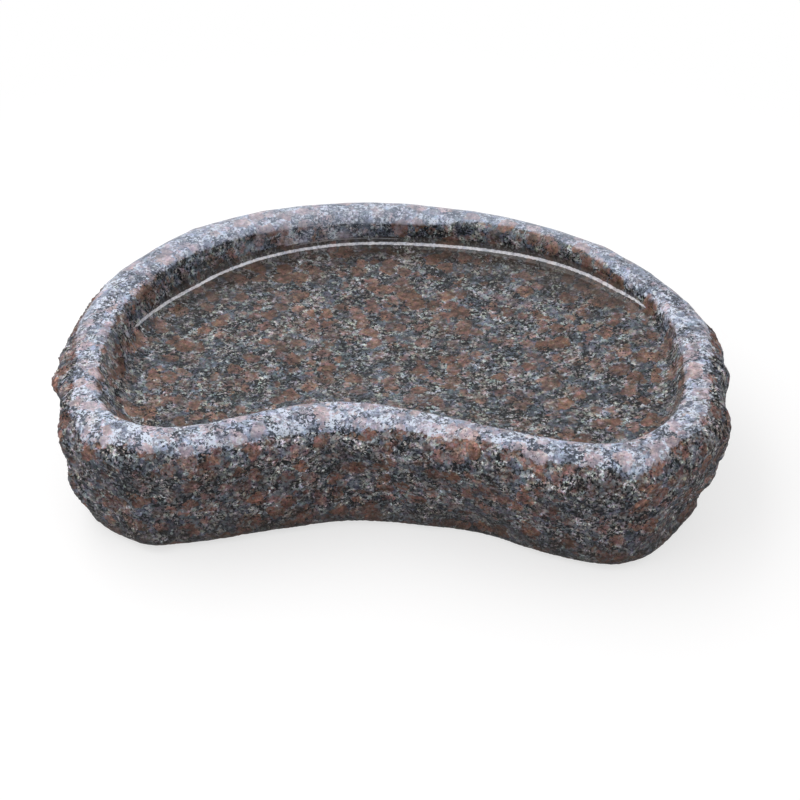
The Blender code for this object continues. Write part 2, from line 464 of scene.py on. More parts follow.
class GraniteSettings(bpy.types.PropertyGroup):
    """Minerals and finishes of the granite."""

    feldspar_width: length_setting("Feldspar width", "Width of the large pink crystals", 0.0092)
    quartz_width: length_setting("Quartz width", "Width of the slate-grey patches", 0.0112)
    pale_width: length_setting("Pale width", "Width of the pale patches", 0.0064)
    grain_width: length_setting(
        "Grain width", "Width of the light and dark grains in the mixed parts", 0.0027
    )
    fleck_width: length_setting("Fleck width", "Width of the black mica flecks", 0.0020)
    pink: color_setting("Pink", "Dusty pink feldspar", (0.172, 0.104, 0.090))
    rust: color_setting("Rust", "Terracotta feldspar", (0.155, 0.080, 0.054))
    slate: color_setting("Slate", "Smoky quartz", (0.074, 0.088, 0.111))
    pale: color_setting("Pale", "Pale, faintly blue feldspar", (0.325, 0.352, 0.375))
    cream: color_setting("Cream", "Pale, faintly yellow feldspar", (0.330, 0.316, 0.298))
    umber: color_setting("Umber", "Brown-grey of the mixed parts", (0.118, 0.103, 0.098))
    black: color_setting("Black", "Black mica", (0.006, 0.008, 0.010))
    # Frost is a painted sky sheen: a bluish bloom added over the honed crown
    frost: color_setting("Frost", "Bluish bloom added by the honed crown", (0.075, 0.085, 0.120))
    polished_roughness: level_setting(
        "Polished roughness", "Roughness of the basin", 0.12, most=1.0
    )
    honed_roughness: level_setting("Honed roughness", "Roughness of the crown", 0.42, most=1.0)
    hewn_roughness: level_setting(
        "Hewn roughness", "Roughness of the sides and the underside", 0.75, most=1.0
    )


class StageSettings(bpy.types.PropertyGroup):
    """Camera, lamp, sky and ground."""

    view_height: FloatProperty(
        name="View height",
        description="How far the camera stands above the horizon",
        default=math.radians(35.0),
        subtype="ANGLE",
    )
    view_distance: length_setting(
        "View distance", "From the camera to the middle of the stone", 1.30
    )
    lens: FloatProperty(
        name="Lens",
        description="Focal length of the camera, in millimetres",
        default=98.96,
    )
    key_power: level_setting(
        "Overhead lamp", "Power of the wide lamp overhead, in watts", 11.0
    )
    front_sky: level_setting(
        "Sky in front", "Brightness of the sky on the photographer's side", 0.62
    )
    back_sky: level_setting("Sky behind", "Brightness of the sky behind the stone", 0.76)
    ground_color: color_setting(
        "Ground", "Part of the pale ground that keeps the shadow", (0.40, 0.39, 0.385)
    )
    ground_glow: level_setting(
        "Ground glow", "Part of the pale ground that has no shadow", 0.66
    )
    bounce_color: color_setting("Bounce", "Ground as the stone is lit by it", (0.28, 0.28, 0.28))


def smooth_loop(rows, samples):
    """Closed cubic B-spline that follows all the columns of rows at once."""
    control = np.array(rows)
    count = len(control)
    along = np.arange(samples) * count / samples
    index = np.floor(along).astype(int)
    u = (along - index)[:, None]
    weights = (
        (1 - u) ** 3 / 6,
        (3 * u ** 3 - 6 * u ** 2 + 4) / 6,
        (-3 * u ** 3 + 3 * u ** 2 + 3 * u + 1) / 6,
        u ** 3 / 6,
    )
    return sum(
        weight * control[(index + step - 1) % count]
        for step, weight in enumerate(weights)
    )


def step_lengths(loop):
    """Length in plan from each point of a closed loop to the next."""
    return np.linalg.norm(np.roll(loop, -1, axis=0)[:, :2] - loop[:, :2], axis=1)


def even_stations(loop, count):
    """Rows of the loop, respaced to equal steps along its plan."""
    reached = np.concatenate([[0.0], np.cumsum(step_lengths(loop))])
    wanted = np.linspace(0.0, reached[-1], count, endpoint=False)
    closed = np.vstack([loop, loop[:1]])
    columns = [np.interp(wanted, reached, column) for column in closed.T]
    return np.stack(columns, axis=1)


def fit_span(values, span):
    """Stretch values to the given span, with its middle at zero."""
    low = values.min()
    high = values.max()
    return (values - (low + high) / 2) * span / (high - low)


def crown_line(stations):
    """Stations of the crown's middle line, and the other shares at each."""
    reach = CROWN_FLAT / 2 + CROWN_OUTER_RADIUS
    loop = smooth_loop(OUTLINE_SHARES, len(OUTLINE_SHARES) * stations)
    loop[:, 0] = fit_span(loop[:, 0], LENGTH - 2 * reach)
    loop[:, 1] = fit_span(loop[:, 1], DEPTH - 2 * reach)
    rows = even_stations(loop, stations)
    return rows[:, :2], rows[:, 2:].T


def outward(plan):
    """Unit normals of an anticlockwise plan, pointing away from the basin."""
    ahead = np.roll(plan, -1, axis=0) - np.roll(plan, 1, axis=0)
    ahead /= np.linalg.norm(ahead, axis=1)[:, None]
    return np.stack([ahead[:, 1], -ahead[:, 0]], axis=1)


def turn(middle, radius, start, stop, steps):
    """Rings round a corner of the section, as (offset, height, facing)."""
    rings = []
    for share in np.linspace(0.0, 1.0, steps + 1):
        facing = start + (stop - start) * share
        offset = middle[0] + radius * np.cos(facing)
        height = middle[1] + radius * np.sin(facing)
        rings.append((offset, height, facing))
    return rings


def between(first, second, steps):
    """Rings along the straight run from one ring to the next."""
    rings = []
    for share in np.arange(1, steps) / steps:
        rings.append(tuple(a + (b - a) * share for a, b in zip(first, second)))
    return rings


def outer_section(crown_share, inset_share, steps):
    """Rings from the underside's edge up the side and over the crown."""
    foot_steps, side_steps, crown_steps = steps
    crown_half = CROWN_FLAT / 2 * crown_share
    widest = crown_half + CROWN_OUTER_RADIUS
    foot_edge = widest - FOOT_INSET * inset_share
    crown_middle = (crown_half, HEIGHT - CROWN_OUTER_RADIUS)
    foot_middle = (foot_edge - FOOT_RADIUS, FOOT_RADIUS)
    across = crown_middle[0] - foot_middle[0]
    rise = crown_middle[1] - foot_middle[1]
    swing = np.arcsin((CROWN_OUTER_RADIUS - FOOT_RADIUS) / np.hypot(across, rise))
    lean = np.arctan2(across, rise) + swing
    foot = turn(foot_middle, FOOT_RADIUS, -RIGHT_ANGLE, -lean, foot_steps)
    crown = turn(crown_middle, CROWN_OUTER_RADIUS, -lean, RIGHT_ANGLE, crown_steps)
    return foot + between(foot[-1], crown[0], side_steps) + crown


def inner_section(crown_share, slope_share, drop_share, steps):
    """Rings from the crown's inner edge down the basin's wall to its foot."""
    edge_steps, wall_steps, fillet_steps = steps
    slope = slope_share * RIGHT_ANGLE
    drop = WALL_DROP * drop_share
    worn = 1 + WORN_SHARE * (1 - rise_between(slope_share, WORN_SLOPE_SHARES))
    bends = (CROWN_INNER_RADIUS + FILLET_RADIUS * worn) * (1 - np.cos(slope))
    room_share = np.minimum(drop / bends, 1.0)
    edge_radius = CROWN_INNER_RADIUS * room_share
    fillet_radius = FILLET_RADIUS * worn * room_share
    sweep = (edge_radius + fillet_radius) * np.sin(slope)
    run = (drop - bends * room_share) / np.tan(slope)
    edge_middle = (-CROWN_FLAT / 2 * crown_share, HEIGHT - edge_radius)
    fillet_middle = (edge_middle[0] - sweep - run, HEIGHT - drop + fillet_radius)
    level = RIGHT_ANGLE
    edge = turn(edge_middle, edge_radius, level, level + slope, edge_steps)
    fillet = turn(fillet_middle, fillet_radius, slope - level, -level, fillet_steps)
    return edge + between(edge[-1], fillet[0], wall_steps) + fillet


def hollow_height(spot):
    """How far the hewn surface stands out at a spot on the smooth side."""
    swell = noise.noise(spot / SWELL_WIDTH)
    hollow = noise.voronoi(spot / HOLLOW_WIDTH)[0][0] ** 2 - HOLLOW_LEVEL_SHARE
    flake = noise.voronoi(spot / FLAKE_WIDTH)[0][0] - FLAKE_LEVEL_SHARE
    return SWELL_DEPTH * swell + HOLLOW_DEPTH * hollow + FLAKE_DEPTH * flake


def chip_depths(ring):
    """Depth that the large chips take off a ring, station by station."""
    round_length = step_lengths(ring).sum()
    around = np.arange(len(ring)) / len(ring)
    depths = np.zeros(len(ring))
    for around_share, height_share, width_share, depth_share in CHIP_SHARES:
        apart = np.abs(around - around_share)
        along = np.minimum(apart, 1 - apart) * round_length
        up = ring[:, 2] - HEIGHT * height_share
        reach = np.hypot(along, up) / (CHIP_WIDTH * width_share)
        depths += CHIP_DEPTH * depth_share * np.maximum(1 - reach ** 2, 0) ** 2
    return depths


def roughen(ring, facing, normals, relief_share):
    """Move a ring in and out with the relief, which dies away on level stone."""
    stand = np.array([hollow_height(Vector(point)) for point in ring])
    stand = stand * relief_share - chip_depths(ring)
    moved = ring.copy()
    moved[:, :2] += normals * (stand * np.cos(facing) ** 2)[:, None]
    return moved


def ring_at(plan, normals, offset, height):
    """One ring of points, offset outwards from the crown's middle line."""
    flat = plan + normals * np.reshape(offset, (-1, 1))
    return np.column_stack([flat, np.broadcast_to(height, len(plan))])


def floor_rings(edge):
    """Rings of the dished floor, drawn in from its edge to a flat middle."""
    middle = (edge.min(axis=0) + edge.max(axis=0)) / 2
    middle[2] = edge[:, 2].min() - FLOOR_DISH
    rings = []
    for share in FLOOR_RING_SHARES:
        ring = middle + (edge - middle) * share
        ring[:, 2] = middle[2] + (edge[:, 2] - middle[2]) * share ** 2
        rings.append(ring)
    return rings


def rise_between(values, limits):
    """Smooth step of the values from 0 at the first limit to 1 at the second."""
    share = np.clip((values - limits[0]) / (limits[1] - limits[0]), 0.0, 1.0)
    return share * share * (3 - 2 * share)


def behind_share(ring):
    """0 in front and 1 at the back of the basin, for each point of a ring."""
    low, high = WALL_SHADE_DEPTHS
    return rise_between(ring[:, 1], (low * DEPTH / 2, high * DEPTH / 2))


def finish_limits(way):
    """Hewn and polished limits at each way round, as facings of the section."""
    ways, hewn_shares, polish_shares = np.array(FINISH_SHARES).T
    hewn = np.interp(way, ways, hewn_shares, period=1.0)
    polish = np.interp(way, ways, polish_shares, period=1.0)
    return hewn * RIGHT_ANGLE, polish


def inside_painted_highlight(rows, way, ring, foot):
    """How far inside a painted highlight strip a ring is, in shares of the fillet's radius.

    Both the ring and the foot of the basin's wall are given as (offset, height).
    """
    ways, middles, halves = np.array(rows).T
    apart = np.hypot(ring[0] - foot[0], ring[1] - foot[1])
    past = np.sign(foot[0] - ring[0]) * apart / FILLET_RADIUS
    away = np.abs(past - np.interp(way, ways, middles))
    return np.interp(way, ways, halves) - away


def section_rings(stations, steps):
    """Rings of the stone from the underside's edge to the basin's fillet.

    Each row holds a ring's points and the finishes that it sets, with the painted highlight
    strips and the painted shade along the back wall.
    """
    plan, shares = crown_line(stations)
    crown_share, slope_share, drop_share, inset_share, relief_share = shares
    normals = outward(plan)
    way = np.arange(stations) / stations
    hewn_limit, polish_share = finish_limits(way)
    rings = []
    for offset, height, facing in outer_section(crown_share, inset_share, steps[:3]):
        turned = np.broadcast_to(facing, stations)
        ring = ring_at(plan, normals, offset, height)
        ring = roughen(ring, turned, normals, relief_share)
        sawn = 1 - rise_between(turned, SAWN_END)
        hewn = 1 - rise_between(turned - hewn_limit, (-HEWN_BLUR, HEWN_BLUR))
        rings.append((ring, {HEWN: hewn * (1 - sawn), SAWN: sawn}))
    polish_limit = RIGHT_ANGLE * (1 + slope_share * polish_share)
    turned = np.full(stations, RIGHT_ANGLE)
    inner = inner_section(crown_share, slope_share, drop_share, steps[3:])
    foot = inner[steps[3] + steps[4]]
    for offset, height, facing in inner:
        # Past the edge the basin stays polished, though the fillet turns back
        turned = np.maximum(turned, np.where(facing < 0, math.pi, facing))
        ring = ring_at(plan, normals, offset, height)
        finishes = {
            POLISHED: rise_between(turned - polish_limit, (-POLISH_BLUR, POLISH_BLUR)),
            # Painted highlights: strips along the fillet and at the foot of the back wall
            FILLET_HIGHLIGHT: inside_painted_highlight(FILLET_HIGHLIGHT_SHARES, way, (offset, height), foot),
            WALL_FOOT_HIGHLIGHT: inside_painted_highlight(WALL_FOOT_HIGHLIGHT_SHARES, way, (offset, height), foot),
            # Painted shade on the fillet along the back wall
            BACK_WALL_SHADE: np.where(facing < 0, behind_share(ring), 0.0),
        }
        rings.append((ring, finishes))
    return rings


def block_box():
    """Corners of the CAD part's box, before its middle stands over the origin."""
    rows = section_rings(CAD_STATIONS, CAD_STEPS)
    points = np.concatenate([ring for ring, _ in rows])
    return points.min(axis=0), points.max(axis=0)


def stone_rings():
    """Points and finishes of every ring of the seen stone, in place."""
    rows = section_rings(SEEN_STATIONS, SEEN_STEPS)
    floor_edge = rows[-1][0]
    for share, ring in zip(FLOOR_RING_SHARES, floor_rings(floor_edge)):
        # Painted shade on the floor along the back wall
        back_wall_shade = behind_share(ring) * rise_between(share, (WALL_SHADE_REACH, 1.0))
        rows.append((ring, {POLISHED: 1.0, BACK_WALL_SHADE: back_wall_shade}))
    low, high = block_box()
    middle = (low + high) / 2
    middle[2] = 0.0
    return [(np.clip(ring, low, high) - middle, finishes) for ring, finishes in rows]


def loft(name, rows):
    """Closed mesh through the rings, capped at both ends, with its finishes."""
    shape = bmesh.new()
    layers = {key: shape.verts.layers.float.new(key) for key in UNSET}
    loops = []
    for ring, finishes in rows:
        loop = [shape.verts.new(point) for point in ring]
        for key, layer in layers.items():
            values = np.broadcast_to(finishes.get(key, UNSET[key]), len(ring))
            for corner, value in zip(loop, values):
                corner[layer] = value
        loops.append(loop)
    for lower, upper in zip(loops, loops[1:]):
        for index, corner in enumerate(lower):
            before = index - 1
            shape.faces.new((lower[before], corner, upper[index], upper[before]))
    shape.faces.new(reversed(loops[0]))
    shape.faces.new(loops[-1])
    mesh = bpy.data.meshes.new(name)
    shape.to_mesh(mesh)
    shape.free()
    mesh.shade_smooth()
    return mesh


def opaque(color):
    """A colour with its alpha."""
    return (*color, 1.0)


def wire(tree, node, inputs):
    """Set or connect a node's inputs, each given by its name or number."""
    for key, value in inputs.items():
        socket = node.inputs[key]
        if isinstance(value, bpy.types.NodeSocket):
            tree.links.new(value, socket)
        else:
            socket.default_value = opaque(value) if socket.type == "RGBA" else value
    return node


def place(tree, kind, inputs=(), **settings):
    """Add a node with its settings and inputs."""
    node = tree.nodes.new(kind)
    for name, value in settings.items():
        setattr(node, name, value)
    return wire(tree, node, dict(inputs))


def calc(tree, operation, *values):
    """Result of a Math node."""
    inputs = dict(enumerate(values))
    return place(tree, "ShaderNodeMath", inputs, operation=operation).outputs[0]


def plus(tree, first, second):
    """Sum of two numbers."""
    return calc(tree, "ADD", first, second)


def times(tree, first, second):
    """Product of two numbers."""
    return calc(tree, "MULTIPLY", first, second)


def rest(tree, share):
    """What a share leaves of 1."""
    return calc(tree, "SUBTRACT", 1.0, share)


def move(tree, operation, first, second, key=1):
    """Result of a Vector Math node; key 'Scale' scales the first vector."""
    inputs = {0: first, key: second}
    return place(tree, "ShaderNodeVectorMath", inputs, operation=operation).outputs[0]


def split(tree, vector):
    """The three numbers of a vector or a colour."""
    return tuple(place(tree, "ShaderNodeSeparateXYZ", {0: vector}).outputs)


def soft_step(tree, value, low, high):
    """0 below low, 1 above high, smooth between."""
    inputs = {"Value": value, "From Min": low, "From Max": high}
    settings = {"interpolation_type": "SMOOTHSTEP", "clamp": True}
    return place(tree, "ShaderNodeMapRange", inputs, **settings).outputs[0]


def mask(tree, value, key):
    """Soft step over the span of that name."""
    return soft_step(tree, value, *SPANS[key])


def stretch(tree, value, low, high):
    """Map a value that runs from 0 to 1 onto low to high."""
    inputs = {"Value": value, "To Min": low, "To Max": high}
    return place(tree, "ShaderNodeMapRange", inputs, clamp=True).outputs[0]


def lerp(tree, share, first, second):
    """Mix two numbers, the Mix node's inputs 2 and 3."""
    inputs = {0: share, 2: first, 3: second}
    return place(tree, "ShaderNodeMix", inputs, data_type="FLOAT").outputs[0]


def blend(tree, share, first, second, mode="MIX"):
    """Mix two colours, the Mix node's inputs 6 and 7 and its output 2."""
    inputs = {0: share, 6: first, 7: second}
    settings = {"data_type": "RGBA", "blend_type": mode}
    return place(tree, "ShaderNodeMix", inputs, **settings).outputs[2]


def laid(tree, below, above, share, key):
    """A colour laid over another where a share shows it, as its cover says."""
    return blend(tree, times(tree, share, COVERS[key]), below, above)


def toned(tree, color, share, key):
    """The colour, darker or brighter by a share, within the tones of that name."""
    level = stretch(tree, share, *TONES[key])
    return blend(tree, 1.0, color, level, "MULTIPLY")


def greyed(tree, color, share):
    """The colour, taken some way towards its grey."""
    grey = place(tree, "ShaderNodeRGBToBW", {0: color}).outputs[0]
    return blend(tree, share, color, grey)


def gamma(tree, color, power):
    """The colour with each of its parts raised to a power."""
    return place(tree, "ShaderNodeGamma", {0: color, 1: power}).outputs[0]


def cloud(tree, vector, key, width=None, output=0):
    """Soft pattern of that name, with values and colours about 0.5."""
    shift, own_width, detail, rough = PATTERNS[key]
    inputs = {
        "Vector": move(tree, "ADD", vector, shift),
        "Scale": calc(tree, "DIVIDE", 1.0, own_width if width is None else width),
        "Detail": detail,
        "Roughness": rough,
    }
    return place(tree, "ShaderNodeTexNoise", inputs).outputs[output]


def even_cloud(tree, vector, key, width=None):
    """Soft pattern of that name, spread out between 0 and 1."""
    return mask(tree, cloud(tree, vector, key, width), "even")


def warped(tree, vector, key):
    """The vector, pushed about by the bend of that name, up to half its reach."""
    width, reach = BENDS[key]
    push = cloud(tree, vector, "bend", width, "Color")
    centred = move(tree, "SUBTRACT", push, (0.5, 0.5, 0.5))
    return move(tree, "ADD", vector, move(tree, "SCALE", centred, reach, "Scale"))


def cells(tree, vector, width):
    """Cells of a width: the Voronoi node, for its distance and colour."""
    inputs = {"Vector": vector, "Scale": calc(tree, "DIVIDE", 1.0, width)}
    return place(tree, "ShaderNodeTexVoronoi", inputs)


def chances(tree, node):
    """Three even random numbers of each cell of a Voronoi node."""
    return split(tree, node.outputs["Color"])


def specks(tree, vector, key):
    """Mask of a random few of the small cells of that name."""
    shift, width = SPECKS[key]
    chance, _, _ = chances(tree, cells(tree, move(tree, "ADD", vector, shift), width))
    return mask(tree, chance, key)


def setting_inputs(settings, names):
    """Named inputs of a node group, each with its kind and the setting's value."""
    kinds = {float: "NodeSocketFloat", int: "NodeSocketInt", Color: "NodeSocketColor"}
    inputs = {}
    for name in names:
        value = getattr(settings, name)
        inputs[name.replace("_", " ").title()] = (kinds[type(value)], value)
    return inputs


def new_group(kind, name, inputs, outputs):
    """Node group with its sockets; returns it with the values that it is given."""
    group = bpy.data.node_groups.new(name, kind)
    for key, (form, value) in inputs.items():
        socket = group.interface.new_socket(key, in_out="INPUT", socket_type=form)
        if value is not None:
            socket.default_value = opaque(value) if form == "NodeSocketColor" else value
    for key, form in outputs.items():
        group.interface.new_socket(key, in_out="OUTPUT", socket_type=form)
    return group, group.nodes.new("NodeGroupInput").outputs


def end_group(group, results):
    """Let a node group put out its results; returns the group."""
    wire(group, group.nodes.new("NodeGroupOutput"), results)
    return group


def use_group(tree, group, vector):
    """Results of a node group that is placed in a tree."""
    return place(tree, "ShaderNodeGroup", {"Vector": vector}, node_tree=group).outputs


def mixed_parts(tree, here, value, pale):
    """Brown-grey stone with small light and dark grains."""
    grain = even_cloud(tree, here, "grain", value["Grain Width"])
    body = blend(tree, mask(tree, grain, "dark grain"), value["Black"], value["Umber"])
    return blend(tree, mask(tree, grain, "light grain"), body, pale)


def crystals(tree, here, width, key):
    """Separate crystals of a width, with ragged edges, in some of the cells.

    Returns their mask, which is weak in some, and two random numbers of each.
    """
    shift, most = CRYSTALS[key]
    vector = move(tree, "ADD", here, shift)
    cell = cells(tree, warped(tree, vector, "crystal"), width)
    chance, size, tone = chances(tree, cell)
    fray = cloud(tree, vector, "fray")
    fray = stretch(tree, fray, -CRYSTAL_FRAY_SHARE, CRYSTAL_FRAY_SHARE)
    reach = plus(tree, stretch(tree, size, *CRYSTAL_REACH_SHARES), fray)
    within = calc(tree, "SUBTRACT", reach, cell.outputs["Distance"])
    kept = rest(tree, soft_step(tree, chance, most - WEAK_SHARE, most))
    return times(tree, mask(tree, within, "crystal"), kept), size, tone


def pink_feldspar(tree, here, value, drift):
    """Mask and colour of the pink crystals, the large ones and the small."""
    width = value["Feldspar Width"]
    large, hue, tone = crystals(tree, here, width, "large")
    small, _, _ = crystals(tree, here, times(tree, width, SMALL_WIDTH_SHARE), "small")
    small = times(tree, small, COVERS["small crystals"])
    pink = blend(tree, hue, value["Pink"], value["Rust"])
    pink = toned(tree, toned(tree, pink, tone, "crystal"), drift, "pink")
    return calc(tree, "MAXIMUM", large, small), pink


def fine_tones(tree, here, body, calm):
    """The stone with its haze, slow changes, and a speckle, less so where calm."""
    body = toned(tree, body, even_cloud(tree, here, "haze"), "haze")
    body = toned(tree, body, even_cloud(tree, here, "slow"), "slow")
    speckle, _, _ = chances(tree, cells(tree, here, SPECKLE_WIDTH))
    return laid(tree, toned(tree, body, speckle, "speckle"), body, calm, "calm")


def tinted(tree, here, color):
    """The colour with its red, green and blue pushed apart by noise."""
    levels = {}
    for index, hue in enumerate(split(tree, cloud(tree, here, "hues", output="Color"))):
        spread = mask(tree, hue, "hues")
        levels[index] = stretch(tree, spread, 1 - HUE_SHARE, 1 + HUE_SHARE)
    tint = place(tree, "ShaderNodeCombineColor", levels).outputs[0]
    return blend(tree, 1.0, color, tint, "MULTIPLY")


def mica_mask(tree, here, width, pink_mask):
    """Mica in flakes and finer shreds, in clusters that mostly keep out of pink."""
    crowd = mask(tree, cloud(tree, here, "crowd"), "crowd")
    least = lerp(tree, crowd, *MICA_LEVELS)
    least = plus(tree, least, times(tree, pink_mask, MICA_PINK_RISE))
    masks = []
    for key, own_width in (("flake", width), ("shred", None)):
        rise, blur = MICA_RISE_BLUR[key]
        low = plus(tree, least, rise)
        high = plus(tree, low, blur)
        masks.append(soft_step(tree, cloud(tree, here, key, own_width), low, high))
    return calc(tree, "MAXIMUM", *masks)


def granite_group(settings):
    """Node group of the minerals: colour, and the share of mica."""
    inputs = {"Vector": ("NodeSocketVector", None)}
    inputs.update(setting_inputs(settings, MINERAL_WIDTHS + MINERAL_COLORS))
    outputs = {"Color": "NodeSocketColor", "Mica": "NodeSocketFloat"}
    tree, value = new_group("ShaderNodeTree", "granite_minerals", inputs, outputs)
    here = move(tree, "MULTIPLY", value["Vector"], LONG_GRAIN)

    # Slow changes of tone, one for each mineral
    drift = split(tree, cloud(tree, here, "drift", output="Color"))
    slate_drift, pale_drift, pink_drift = (mask(tree, part, "drift") for part in drift)

    # Smoky quartz over the mixed parts, then pale patches, then pink crystals
    pale = blend(tree, pale_drift, value["Pale"], value["Cream"])
    body = mixed_parts(tree, here, value, pale)
    slate = toned(tree, value["Slate"], slate_drift, "slate")
    slate_mask = cloud(tree, here, "quartz", value["Quartz Width"])
    slate_mask = mask(tree, slate_mask, "quartz")
    body = laid(tree, body, slate, slate_mask, "slate")
    pale_mask = mask(tree, cloud(tree, here, "pale", value["Pale Width"]), "pale")
    body = laid(tree, body, pale, pale_mask, "pale")
    pink_mask, pink = pink_feldspar(tree, here, value, pink_drift)
    body = laid(tree, body, pink, pink_mask, "pink")

    # Fine tones, pale sparks, which are few in pink crystals, and mica on top
    body = fine_tones(tree, here, body, calc(tree, "MAXIMUM", pink_mask, slate_mask))
    free = rest(tree, times(tree, pink_mask, COVERS["sparkless"]))
    sparks = times(tree, specks(tree, here, "spark"), free)
    body = laid(tree, body, pale, sparks, "spark")
    body = tinted(tree, here, body)
    mica = mica_mask(tree, here, value["Fleck Width"], pink_mask)
    body = laid(tree, body, value["Black"], mica, "mica")
    return end_group(tree, {"Color": body, "Mica": mica})


def hewn_skin_group():
    """Node group of the broken surface: height in metres of facets and grit."""
    inputs = {
        "Vector": ("NodeSocketVector", None),
        "Crystal Width": ("NodeSocketFloat", FACET_WIDTH),
        "Crystal Height": ("NodeSocketFloat", FACET_HEIGHT),
        "Grit Height": ("NodeSocketFloat", GRIT_HEIGHT),
    }
    outputs = {"Height": "NodeSocketFloat"}
    tree, value = new_group("ShaderNodeTree", "hewn_skin", inputs, outputs)
    here = value["Vector"]
    facets = cells(tree, warped(tree, here, "facet"), value["Crystal Width"])
    step, _, _ = chances(tree, facets)
    dip = facets.outputs["Distance"]
    plane = plus(tree, times(tree, step, FACET_STEP_SHARE), dip)
    large = times(tree, plane, value["Crystal Height"])
    small = times(tree, cloud(tree, here, "grit"), value["Grit Height"])
    return end_group(tree, {"Height": plus(tree, large, small)})


def carried(tree, name):
    """Finish that the mesh carries under a name."""
    return place(tree, "ShaderNodeAttribute", attribute_name=name).outputs["Fac"]


def finish_mask(tree, name, wobble):
    """Share of a finish, with its edge broken up by noise."""
    return mask(tree, plus(tree, carried(tree, name), wobble), name)


def honed_sheen_color(tree, here, behind, minerals, frost):
    """Honed crown: paler than the polish, under a painted bluish sky sheen that changes from
    front to back.
    """
    back_share = mask(tree, behind, "back")
    bloom = even_cloud(tree, here, "bloom")
    bright = greyed(tree, minerals["Color"], HONED_GREY_SHARE)
    bright = blend(tree, 1.0, bright, HONED_AND_SHEEN_TINT, "MULTIPLY")
    # Painted sheen: a bluish bloom of sky light, through which mica shows less at the back
    frost = toned(tree, frost, bloom, "bloom")
    clear = times(tree, minerals["Mica"], lerp(tree, back_share, *HONED_MICA_SHARES))
    frost = blend(tree, clear, frost, (0.0, 0.0, 0.0))
    honed = blend(tree, 1.0, bright, frost, "ADD")
    # Painted light: the crown is darker past the front and brighter again at the back
    honed = toned(tree, honed, mask(tree, behind, "middle"), "middle")
    honed = toned(tree, honed, back_share, "back")
    honed = gamma(tree, honed, HONED_GAMMA)
    honed = blend(tree, 1.0, honed, HONED_LIMIT, "DARKEN")
    # Painted sheen: a bluish veil over the back of the crown
    back_sheen = times(tree, back_share, lerp(tree, bloom, *BACK_SHEEN_SHARES))
    return blend(tree, back_sheen, honed, BACK_SHEEN_COLOR)


def basin_color(tree, color):
    """Polished basin, dull and brown in painted shade along the back wall."""
    dull = blend(tree, WALL_SHADE_DULLING, color, WALL_SHADE_COLOR)
    return laid(tree, color, dull, carried(tree, BACK_WALL_SHADE), "wall_shade")


def painted_highlight_color(tree, here, honed):
    """Painted highlight strips: pale colour over the honed crown, more even than it."""
    cover = lerp(tree, even_cloud(tree, here, "strip"), *PAINTED_HIGHLIGHT_COVER)
    return blend(tree, cover, honed, PAINTED_HIGHLIGHT_COLOR)


def struck_color(tree, here, level, color, pale):
    """Hewn and sawn stone, with pale dust on it and painted shade, darker and browner, at its
    foot.
    """
    struck = gamma(tree, greyed(tree, color, HEWN_GREY_SHARE), HEWN_GAMMA)
    struck = blend(tree, 1.0, struck, HEWN_TINT, "MULTIPLY")
    struck = laid(tree, struck, pale, specks(tree, here, "dust"), "dust")
    # Painted shade: darker and browner towards the foot
    foot_shade = rest(tree, mask(tree, level, "foot_shade"))
    return laid(tree, struck, FOOT_SHADE_COLOR, foot_shade, "foot_shade")


def stone_height(tree, here, polished, rough):
    """Height in metres of the finishes' skins, over one slow swell."""
    swell = times(tree, cloud(tree, here, "swell"), SWELL_HEIGHT)
    tooth = times(tree, cloud(tree, here, "tooth"), TOOTH_HEIGHT)
    skin = use_group(tree, hewn_skin_group(), here)["Height"]
    smooth = plus(tree, times(tree, tooth, rest(tree, polished)), swell)
    return plus(tree, smooth, times(tree, skin, rough))


def granite_material(settings):
    """The block's only stone, in three finishes."""
    material = bpy.data.materials.new("granite_stone")
    material.use_nodes = True
    tree = material.node_tree
    here = place(tree, "ShaderNodeTexCoord").outputs["Object"]
    _, behind, level = split(tree, here)
    minerals = use_group(tree, granite_group(settings), here)

    # Where each finish shows
    edge = even_cloud(tree, here, "edge")
    wobble = stretch(tree, edge, -EDGE_WANDER, EDGE_WANDER)
    calmer = lerp(tree, mask(tree, behind, "back"), 1.0, BACK_WANDER_SHARE)
    polished = finish_mask(tree, POLISHED, times(tree, wobble, calmer))
    hewn = finish_mask(tree, HEWN, wobble)
    rough = calc(tree, "MAXIMUM", hewn, finish_mask(tree, SAWN, wobble))
    # The corner and faint strips are painted highlights along the fillet
    frayed = stretch(tree, cloud(tree, here, "strip edge"), -PAINTED_HIGHLIGHT_WANDER, PAINTED_HIGHLIGHT_WANDER)
    corner = finish_mask(tree, FILLET_HIGHLIGHT, frayed)
    faint = mask(tree, carried(tree, WALL_FOOT_HIGHLIGHT), WALL_FOOT_HIGHLIGHT)

    # The honed crown carries a painted bluish sky sheen
    honed = honed_sheen_color(tree, here, behind, minerals, settings.frost)
    strip = painted_highlight_color(tree, here, honed)
    struck = struck_color(tree, here, level, minerals["Color"], settings.pale)
    base = blend(tree, polished, honed, basin_color(tree, minerals["Color"]))
    # Painted highlight: pale strips in the corner and at the foot of the back wall
    base = blend(tree, corner, base, strip)
    base = laid(tree, base, strip, faint, "faint")
    base = blend(tree, rough, base, struck)

    roughness = lerp(tree, polished, settings.honed_roughness, settings.polished_roughness)
    roughness = lerp(tree, corner, roughness, settings.honed_roughness)
    roughness = lerp(tree, rough, roughness, settings.hewn_roughness)
    gleam = times(tree, minerals["Mica"], -MICA_GLEAM)

    height = stone_height(tree, here, polished, rough)
    bump = place(tree, "ShaderNodeBump", {"Height": height, "Distance": 1.0})
    looks = {
        "Base Color": base,
        "Roughness": plus(tree, roughness, gleam),
        "Normal": bump.outputs[0],
        "Specular IOR Level": STONE_SPECULAR,
    }
    wire(tree, tree.nodes["Principled BSDF"], looks)
    return material


def chipped(tree, vector, key, width, depth):
    """Depth of chips of a width, level in each and with bent edges."""
    level, _, _ = chances(tree, cells(tree, warped(tree, vector, key), width))
    return times(tree, level, depth)


